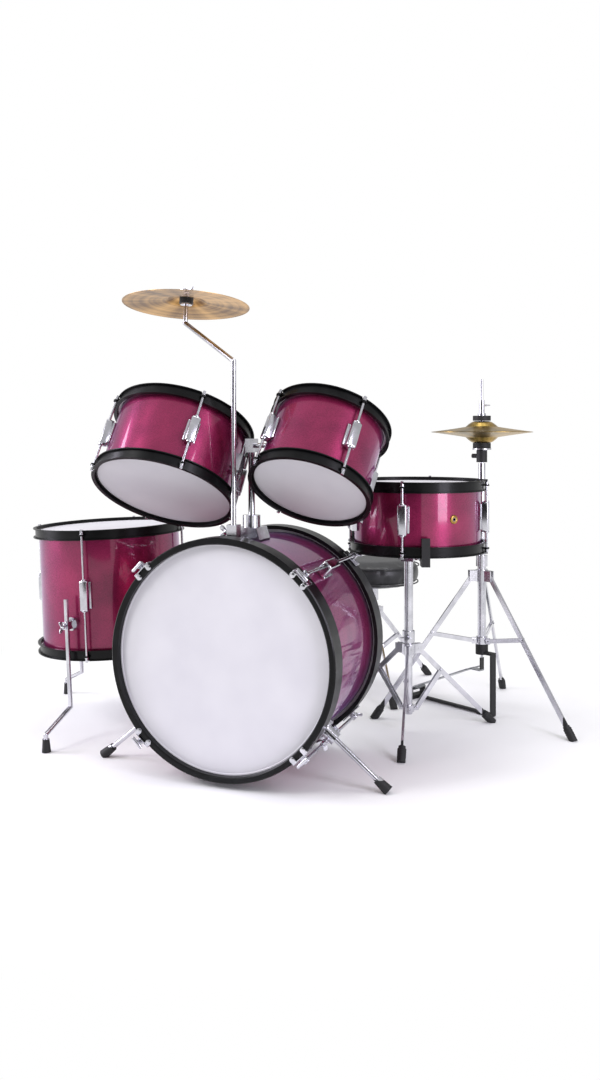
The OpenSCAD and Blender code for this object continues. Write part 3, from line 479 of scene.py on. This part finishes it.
def turned(name, profile, sides=64):
    """Lathes (radius, height) points in mm; a last point equal to the first closes a ring."""
    deselect()
    radius, height = profile[0]
    bpy.ops.mesh.primitive_circle_add(vertices=sides, radius=radius / 1000, location=(0, 0, 0))
    piece = bpy.context.object
    piece.name = name
    bpy.ops.object.mode_set(mode="EDIT")
    bpy.ops.mesh.select_all(action="SELECT")
    bpy.ops.transform.translate(value=(0, 0, height / 1000))
    ring = profile[0] == profile[-1]
    if not ring:
        bpy.ops.mesh.edge_face_add()
    for next_radius, next_height in profile[1:]:
        if ring:
            bpy.ops.mesh.extrude_edges_move()
        else:
            bpy.ops.mesh.extrude_region_move()
        grow = next_radius / radius
        bpy.ops.transform.resize(value=(grow, grow, 1), center_override=(0, 0, 0))
        bpy.ops.transform.translate(value=(0, 0, (next_height - height) / 1000))
        radius, height = next_radius, next_height
    bpy.ops.mesh.select_all(action="SELECT")
    bpy.ops.mesh.remove_doubles(threshold=0.00001)
    bpy.ops.mesh.normals_make_consistent(inside=False)
    bpy.ops.object.mode_set(mode="OBJECT")
    return piece


def pick(piece):
    """Selects one piece alone and makes it the active one."""
    deselect()
    piece.select_set(True)
    bpy.context.view_layer.objects.active = piece


def smooth(piece, sharpest=40):
    """Shades smoothly across edges that turn less than this many degrees."""
    pick(piece)
    bpy.ops.object.shade_smooth_by_angle(angle=radians(sharpest))


def apply_modifiers(piece):
    pick(piece)
    for modifier in list(piece.modifiers):
        bpy.ops.object.modifier_apply(modifier=modifier.name)


def bevelled(piece, width_mm, segments=2):
    piece.modifiers.new("edges", "BEVEL")
    piece.modifiers["edges"].width = width_mm / 1000
    piece.modifiers["edges"].segments = segments
    piece.modifiers["edges"].limit_method = "ANGLE"
    apply_modifiers(piece)


def block(name, low, high):
    """A box between two corners, in mm."""
    deselect()
    centre = [(a + b) / 2000 for a, b in zip(low, high)]
    size = [(b - a) / 1000 for a, b in zip(low, high)]
    bpy.ops.mesh.primitive_cube_add(size=1, location=centre)
    piece = bpy.context.object
    piece.name = name
    piece.scale = size
    bpy.ops.object.transform_apply(location=True, rotation=True, scale=True)
    return piece


def move_to(piece, matrix):
    """Carries a piece to its place and leaves its object at the origin."""
    pick(piece)
    piece.matrix_world = matrix @ piece.matrix_world
    bpy.ops.object.transform_apply(location=True, rotation=True, scale=True)


def copy_of(piece, name):
    twin = piece.copy()
    twin.data = piece.data.copy()
    twin.name = name
    bpy.context.collection.objects.link(twin)
    return twin


def join(name, *parts):
    deselect()
    for part in parts:
        part.select_set(True)
    bpy.context.view_layer.objects.active = parts[0]
    if len(parts) > 1:
        bpy.ops.object.join()
    whole = bpy.context.object
    whole.name = name
    return whole


def finish(piece, material, body, slot, *replaced):
    """Sets the finish, and says what the piece moves with and stands for."""
    piece.data.materials.clear()
    piece.data.materials.append(material)
    smooth(piece)
    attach(piece, body)
    if replaced:
        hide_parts(*replaced)


# %% [markdown]
# ## Cymbals
# Cymbals are spun from bronze discs. A thin curved profile is lathed with
# enough rings for the bow to look smooth: a cup in the middle, then a shallow
# bow that thins towards the rim.

# %% Turn the cymbals
BOW_SHARE = 0.45
RIM_THICK = 0.5
FULL_THICK = 1.2


def cymbal_profile(radius, cup, rise, hole):
    """The underside from rim to hole, then the upper side back out to the rim."""
    under = []
    for i in range(19):
        share = i / 18
        r = radius + (cup - radius) * share
        under.append((r, rise * BOW_SHARE * share ** 1.25))
    for i in range(1, 11):
        share = i / 10
        r = cup + (hole - cup) * share
        dome = sin(pi / 2 * min(1, share * 1.35))
        under.append((r, rise * (BOW_SHARE + (1 - BOW_SHARE) * dome)))
    over = []
    for i, (r, z) in enumerate(under):
        over.append((r, z + RIM_THICK + (FULL_THICK - RIM_THICK) * min(1, i / 6)))
    return under + over[::-1] + under[:1]


def make_cymbal(name, profile, matrix, material, part):
    piece = turned(name, profile, 128)
    move_to(piece, matrix)
    finish(piece, material, part, "cymbal_bronze", part)


HIHAT_R = 113
HIHAT_TOP = HIHAT @ step(0, 0, 636.2)
HIHAT_BOTTOM = HIHAT @ step(0, 0, 635.8) @ turn(180, "X")
make_cymbal("crash_bronze_disc", cymbal_profile(127, 42, 17, 5.4), CRASH, crash_bronze, "crash_cymbal")
make_cymbal("hihat_top_disc", cymbal_profile(HIHAT_R, 36, 23, 6.4), HIHAT_TOP,
            hihat_bronze, "hihat_cymbal_top")
make_cymbal("hihat_bottom_disc", cymbal_profile(HIHAT_R, 36, 23, 9), HIHAT_BOTTOM,
            hihat_bronze, "hihat_cymbal_bottom")
print("cymbals turned")

# %% [markdown]
# ## Throne cushion
# The seat is a round foam pad on a board, covered in leathercloth with a piped
# seam round its side. A cloth simulation inflates the cover a little, so that
# it crowns like stuffed foam; the two cords of piping are thin rings added
# afterwards. A chromed socket under the board takes the base's tube.

# %% Stuff the seat
SEAT_R = 120
SEAT_TOP = 322
VOXEL = 0.006
MOST_SWELL = 0.007
CLOTH_FRAMES = 20


def make_cushion():
    pad = turned("throne_cushion", [
        (SEAT_R * 0.5, SEAT_TOP - 58), (SEAT_R - 14, SEAT_TOP - 58), (SEAT_R - 8, SEAT_TOP - 52),
        (SEAT_R - 6, SEAT_TOP - 30), (SEAT_R - 8, SEAT_TOP - 16), (SEAT_R - 16, SEAT_TOP - 10),
        (SEAT_R * 0.5, SEAT_TOP - 8)], 96)
    pad.modifiers.new("even mesh", "REMESH")
    pad.modifiers["even mesh"].mode = "VOXEL"
    pad.modifiers["even mesh"].voxel_size = VOXEL
    apply_modifiers(pad)
    start = [v.co.copy() for v in pad.data.vertices]
    cloth = pad.modifiers.new("cover", "CLOTH")
    cloth.settings.use_pressure = True
    cloth.settings.uniform_pressure_force = 4
    cloth.settings.effector_weights.gravity = 0
    cloth.settings.tension_stiffness = 30
    for number in range(1, CLOTH_FRAMES + 1):
        bpy.context.scene.frame_set(number)
    apply_modifiers(pad)
    for vertex, before in zip(pad.data.vertices, start):
        push = vertex.co - before
        if push.length > MOST_SWELL:
            vertex.co = before + push.normalized() * MOST_SWELL
    bpy.context.scene.frame_set(1)
    pad.modifiers.new("fine", "SUBSURF").levels = 1
    apply_modifiers(pad)
    move_to(pad, THRONE)
    finish(pad, leathercloth, "throne_seat", "vinyl", "throne_seat")
    smooth(pad, 180)
    return pad


cushion = make_cushion()


def piping(name, radius, height, thick):
    """A cord of cloth sewn into the seam."""
    points = [(radius + thick * cos(a * pi / 4), height + thick * sin(a * pi / 4)) for a in range(9)]
    points[-1] = points[0]
    piece = turned(name, points, 96)
    move_to(piece, THRONE)
    finish(piece, leathercloth, "throne_seat", "vinyl", "throne_seat")


piping("seat_piping_top", SEAT_R - 6, SEAT_TOP - 14, 1.8)
piping("seat_piping_bottom", SEAT_R - 8, SEAT_TOP - 55, 1.8)
socket = turned("seat_socket", [
    (8.3, SEAT_TOP - 104), (13, SEAT_TOP - 104), (14, SEAT_TOP - 103), (14, SEAT_TOP - 70),
    (20, SEAT_TOP - 66), (50, SEAT_TOP - 65), (52, SEAT_TOP - 63), (52, SEAT_TOP - 60),
    (8.3, SEAT_TOP - 60), (8.3, SEAT_TOP - 104)], 48)
move_to(socket, THRONE)
finish(socket, chrome, "throne_seat", "chrome", "throne_seat")
print("seat stuffed:", len(cushion.data.vertices), "points")

# %% [markdown]
# ## Lugs
# A lug is a zinc casting that holds the tension rods off the shell. It has a
# stepped base, a raised body with a rod socket at each end, and rounded edges
# that catch long highlights. One is modelled and copied round each drum.

# %% Cast the lugs
LUGS = 4
ROD_OUT = 13
CLAW_OUT = 24


def lug(name, radius, long, width, rod_out):
    """Points along +X from the drum's axis, its middle at z = 0."""
    half = width / 2
    end = long / 2
    base = block("base", (radius - 0.4, -half, -end + 4), (radius + 4.5, half, end - 4))
    bevelled(base, 1.6, 3)
    body = block("body", (radius + 2, -half + 3, -end), (radius + rod_out + 5, half - 3, end))
    bevelled(body, 3.5, 4)
    sockets = []
    for flip in (180, 0):
        socket = turned("socket", [
            (3, end - 2), (5, end - 2), (5.6, end), (5, end + 1.6), (3, end + 1.6), (3, end - 2)], 24)
        move_to(socket, step(radius + rod_out, 0, 0) @ turn(flip, "X"))
        sockets.append(socket)
    return join(name, base, body, *sockets)


def lugs_round(drum, matrix, radius, depth, first, size, rod_out, body, node):
    """Copies a lug round a drum; first is the angle of lug 1, size its length and width."""
    pattern = lug(drum + "_lug", radius, *size, rod_out)
    for i in range(LUGS):
        one = copy_of(pattern, f"{drum}_lug_{i + 1}")
        move_to(one, matrix @ turn(first + i * 360 / LUGS, "Z") @ step(0, 0, depth / 2))
        finish(one, chrome, body, "chrome", node)
    bpy.data.objects.remove(pattern)


lugs_round("tom_left", BIG_TOM, BIG_TOM_R, TOM_DEPTH, -48, (52, 24), ROD_OUT, "tom_left", "tom_left_lugs")
lugs_round("tom_right", SMALL_TOM, SMALL_TOM_R, TOM_DEPTH, -36, (52, 24), ROD_OUT,
           "tom_right", "tom_right_lugs")
lugs_round("snare", SNARE, SNARE_R, SNARE_DEPTH, -88, (60, 24), ROD_OUT, "snare", "snare_lugs")
lugs_round("floor_tom", FLOOR_TOM, FLOOR_TOM_R, FLOOR_TOM_DEPTH, -79, (64, 24), ROD_OUT, "kit", "fixed_lugs")
lugs_round("bass", BASS, BASS_R, BASS_DEPTH, 45, (56, 26), CLAW_OUT, "kit", "fixed_lugs")
print("lugs cast:", 5 * LUGS)

# %% [markdown]
# ## Wing bolts
# Height and angle are locked by bolts with two wings for the fingers. The
# boss is turned; a wing is a flattened disc, bevelled and tilted outwards.

# %% Make the wing bolts


def wings(reach, height):
    """Two finger wings, their roots this far out and this high."""
    made = []
    for side in (1, -1):
        deselect()
        bpy.ops.mesh.primitive_cylinder_add(
            vertices=28, radius=0.001, depth=0.0026, rotation=(pi / 2, 0, 0))
        wing = bpy.context.object
        wing.scale = (4.6, 7.6, 1)
        bpy.ops.object.transform_apply(location=False, rotation=True, scale=True)
        bevelled(wing, 0.9, 3)
        move_to(wing, turn(90 - side * 90, "Z") @ step(reach, 0, height) @ turn(38, "Y"))
        made.append(wing)
    return made


def wing_bolt(name, shank):
    """Points along +Z from its tip."""
    boss = turned("boss", [
        (2.9, 0), (2.9, shank), (5.2, shank + 0.5), (5.6, shank + 2),
        (4.6, shank + 6), (2.4, shank + 7.5)], 24)
    return join(name, boss, *wings(6.5, shank + 9))


def spur_bolt(side):
    """On a spur that leans outwards; side is -1 for left and 1 for right."""
    spur = place(side * 286, 72, 5) @ turn(side * 129.5, "Y")
    return spur @ step(5.75, 0, -136) @ turn(90, "Y")


def floor_leg_bolt(number):
    leg = FLOOR_TOM @ turn(-91.6 + number * 120, "Z")
    return leg @ step(179.75, 0, 68) @ turn(90, "Y")


# Each bolt's name, place and length of shank.
BOLTS = [
    ("spur_left", spur_bolt(-1), 10),
    ("spur_right", spur_bolt(1), 10),
    ("post", place(6 - 7.35, 120, 451) @ turn(-90, "Y") @ turn(90, "Z"), 16),
    ("crash", place(2 - 5.35, 45, 451) @ turn(-90, "Y"), 7),
]
for i in range(3):
    BOLTS.append((f"floor_leg_{i + 1}", floor_leg_bolt(i), 6))
for name, matrix, shank in BOLTS:
    bolt = wing_bolt("wing_bolt_" + name, shank)
    move_to(bolt, matrix)
    finish(bolt, chrome, "kit", "chrome", "wing_bolts")

nut_boss = turned("boss", [
    (3.2, 25.8), (7, 25.8), (7.2, 27), (6, 29), (5.2, 33), (4.4, 34), (3.2, 34), (3.2, 25.8)], 32)
nut = join("crash_nut", nut_boss, *wings(8.6, 33))
move_to(nut, CRASH)
finish(nut, chrome, "crash_wing_nut", "chrome", "crash_wing_nut")
print("wing bolts:", len(BOLTS), "and a nut")

# %% [markdown]
# ## Claws and rods of the bass drum
# A claw hooks over the bass drum's hoop: two round tabs bear on its face, a
# plate runs over its edge, and an ear carries the rod. The rod ends in a cross
# bar that is turned by hand.

# %% Hook the claws on
CLAWS = 4
TAB_R = BASS_R + 9
TAB_SIDE = 13.5
FACE = 15.1


def claw(name):
    """Points along +X from the drum's axis; the hoop's face is at height FACE."""
    parts = []
    for y in (-TAB_SIDE, TAB_SIDE):
        tab = turned("tab", [(4.4, FACE), (5.2, 15.3), (5.5, 16.2), (5.2, 17.3), (3.6, 18)], 32)
        move_to(tab, step(TAB_R, y, 0))
        arm = block("arm", (TAB_R, y - 5, FACE), (BASS_R + 17.5, y + 5, 17.6))
        bevelled(arm, 0.8, 2)
        parts += [tab, arm]
    plate = block("plate", (BASS_R + 15.1, -18.8, -8), (BASS_R + 17.4, 18.8, 17.4))
    ear = block("ear", (BASS_R + 15.4, -6, 2), (BASS_R + CLAW_OUT + 5.6, 6, 10))
    bevelled(plate, 0.9, 2)
    bevelled(ear, 1.8, 3)
    return join(name, plate, ear, *parts)


def t_rod(name):
    """Runs down the drum from its cross bar at z = 22."""
    rod = turned("rod", [(2.4, -119), (3, -118), (3, 21)], 24)
    washer = turned("washer", [
        (3.1, 10.2), (5.4, 10.2), (5.6, 11), (5.4, 11.8), (3.1, 11.8), (3.1, 10.2)], 32)
    collar = turned("collar", [(3, 15), (4.4, 16.5), (4.6, 19), (3.4, 22)], 24)
    handle = turned("handle", [
        (1.2, -13), (2.6, -12.4), (3.2, -11), (3, 0), (3.2, 11), (2.6, 12.4), (1.2, 13)], 24)
    move_to(handle, step(0, 0, 22) @ turn(90, "X"))
    return join(name, rod, washer, collar, handle)


for end, matrix in (("front", BASS @ turn(180, "X")), ("back", BASS @ step(0, 0, BASS_DEPTH))):
    for i in range(CLAWS):
        around = matrix @ turn(45 + 90 * i, "Z")
        hook = claw(f"bass_claw_{end}_{i + 1}")
        move_to(hook, around)
        finish(hook, chrome, "kit", "chrome", "bass_claws")
        rod = t_rod(f"bass_rod_{end}_{i + 1}")
        level = 45 - 90 * i if end == "back" else 0
        move_to(rod, around @ step(BASS_R + CLAW_OUT, 0, 0) @ turn(level, "Z"))
        finish(rod, chrome, "kit", "chrome", "bass_rods")
print("claws and rods:", 2 * CLAWS, "of each")

# %% [markdown]
# ## Rubber boots and the vent
# The tripod legs end in ribbed rubber boots. The snare's air hole is lined with
# a rolled brass ring.

# %% Push the boots on and roll the vent
FOOT_HEIGHT = 8
LEG_PIVOT_R = 22.6
RIBS = 4
RIB_STEP = 5


def leg_slope(hub_z, foot_r):
    """Degrees that a leg falls by, from its pivot at the hub to its foot."""
    return degrees(atan2(hub_z - FOOT_HEIGHT, foot_r - LEG_PIVOT_R))


def ribbed_boot(name, stand, leg_turn, foot_r, hub_z):
    """Ribs over the CAD boot, along the leg."""
    points = [(7.6, -18), (8, -17.5)]
    for i in range(RIBS):
        low = -16.5 + i * RIB_STEP
        points += [(8.8, low), (8.8, low + 2.5), (7.9, low + 3), (7.9, low + 4.5)]
    points += [(7.4, 3.4), (7.4, -18)]
    points.append(points[0])
    boot = turned(name, points, 40)
    foot = stand @ turn(leg_turn, "Z") @ step(foot_r, 0, FOOT_HEIGHT)
    move_to(boot, foot @ turn(90 + leg_slope(hub_z, foot_r), "Y"))
    return boot


# Each stand's name, frame, angle of leg 1, radius to the feet and hub height.
STANDS = [
    ("snare_stand", SNARE_STAND, -80, 196, 176),
    ("hihat", HIHAT, -32, 243, 313),
    ("throne", THRONE, -60, 196, 190),
]
for name, stand, first, foot_r, hub_z in STANDS:
    for i in range(3):
        boot = ribbed_boot(f"{name}_boot_{i + 1}", stand, first + 120 * i, foot_r, hub_z)
        finish(boot, rubber, "kit", None)

vent = turned("snare_vent", [
    (3.2, 126), (8.4, 126), (8.8, 127.4), (8, 128.8), (6, 129.6), (4, 129.2), (3.2, 128), (3.2, 126)], 40)
move_to(vent, SNARE @ turn(-43, "Z") @ step(0, 0, 64) @ turn(90, "Y"))
finish(vent, brass, "snare", "cymbal_bronze")
print("boots:", 3 * len(STANDS))

# %% [markdown]
# ## Floor, light and camera
# A white studio. Lamps draw the highlights; a dark cloth out of sight gives
# the chrome something dark to reflect.

# %% Studio
SHADOW_ENDS = 0.45
GLOW_STARTS = 1.1


def lamp(name, where, size, watts, aim):
    data = bpy.data.lights.new(name, "AREA")
    data.shape = "RECTANGLE"
    data.size, data.size_y = size
    data.energy = watts
    made = bpy.data.objects.new(name, data)
    bpy.context.collection.objects.link(made)
    made.location = where
    made.rotation_euler = (Vector(aim) - Vector(where)).to_track_quat("-Z", "Y").to_euler()
    return made


def make_floor():
    deselect()
    bpy.ops.mesh.primitive_plane_add(size=30, location=(0, 0, -0.0005))
    floor = bpy.context.object
    floor.name = "studio_floor"
    paper, shader = start_material("white paper floor", Roughness=0.9)
    coords = add(paper, "ShaderNodeTexCoord").outputs["Object"]
    grain = add(paper, "ShaderNodeTexNoise", Vector=coords, Scale=per_mm(300))
    colour = add(paper, "ShaderNodeValToRGB", Fac=grain.outputs["Fac"],
                 stops=[(0.3, "#F0F0F1"), (0.7, "#F6F6F7")])
    link(paper, colour.outputs["Color"], shader.inputs["Base Color"])
    distance = add(paper, "ShaderNodeVectorMath", {"operation": "LENGTH"}, _0=coords).outputs["Value"]
    fade = add(paper, "ShaderNodeMapRange", {"interpolation_type": "SMOOTHSTEP"},
               Value=distance, From_Min=SHADOW_ENDS, From_Max=GLOW_STARTS).outputs["Result"]
    glow = add(paper, "ShaderNodeEmission", Color=(1, 1, 1, 1), Strength=1.0)
    mix = add(paper, "ShaderNodeMixShader", Fac=fade, _1=shader.outputs[0], _2=glow.outputs[0])
    link(paper, mix.outputs[0], paper.node_tree.nodes["Material Output"].inputs["Surface"])
    floor.data.materials.append(paper)


def make_world():
    world = bpy.data.worlds.new("studio air")
    world.use_nodes = True
    tree = world.node_tree
    background = tree.nodes["Background"]
    background.inputs["Color"].default_value = (1, 1, 1, 1)
    path = tree.nodes.new("ShaderNodeLightPath")
    level = tree.nodes.new("ShaderNodeMapRange")
    level.inputs["To Min"].default_value = 0.6
    level.inputs["To Max"].default_value = 1.0
    tree.links.new(path.outputs["Is Camera Ray"], level.inputs["Value"])
    tree.links.new(level.outputs["Result"], background.inputs["Strength"])
    bpy.context.scene.world = world


def dark_card(name, low, high):
    card = block(name, low, high)
    cloth = start_material(name + " cloth", Base_Color=linear("#0C0C0E"), Roughness=1.0)[0]
    card.data.materials.append(cloth)
    card.visible_camera = False


make_floor()
make_world()
bpy.context.scene.view_settings.view_transform = "Standard"
LILAC = linear("#ECE8F8")[:3]
lamp("key", (-1.9, -2.4, 2.4), (0.9, 1.3), 50, (0, 0, 0.4))
lamp("right_strip", (2.3, -1.3, 1.2), (0.8, 2.0), 46, (0.1, 0, 0.4)).data.color = LILAC
lamp("left_strip", (-2.2, -0.9, 1.1), (0.8, 1.8), 42, (-0.1, 0, 0.4)).data.color = LILAC
lamp("top", (0.2, 0.3, 2.8), (1.6, 1.6), 30, (0, 0, 0.3))
dark_card("dark_front", (-900, -3300, 0), (1500, -3250, 1600))

# %% Camera
# It stands level, at the height of the toms, and its frame is shifted down
# instead of tilted, so that the uprights stay parallel.
SENSOR = 36
FRAME_HEIGHT = 1080
CAMERA_AT = place(742, -1605, 627).to_translation()
CAMERA_TOWARDS = Vector((-0.347, 0.938, 0))
camera_data = bpy.data.cameras.new("camera")
camera_data.sensor_width = SENSOR
camera_data.lens = 986 * SENSOR / FRAME_HEIGHT
camera_data.shift_y = -104 / FRAME_HEIGHT
camera = bpy.data.objects.new("camera", camera_data)
bpy.context.collection.objects.link(camera)
camera.location = CAMERA_AT
camera.rotation_euler = CAMERA_TOWARDS.to_track_quat("-Z", "Y").to_euler()
bpy.context.scene.camera = camera
print("camera at", [round(c, 3) for c in CAMERA_AT])
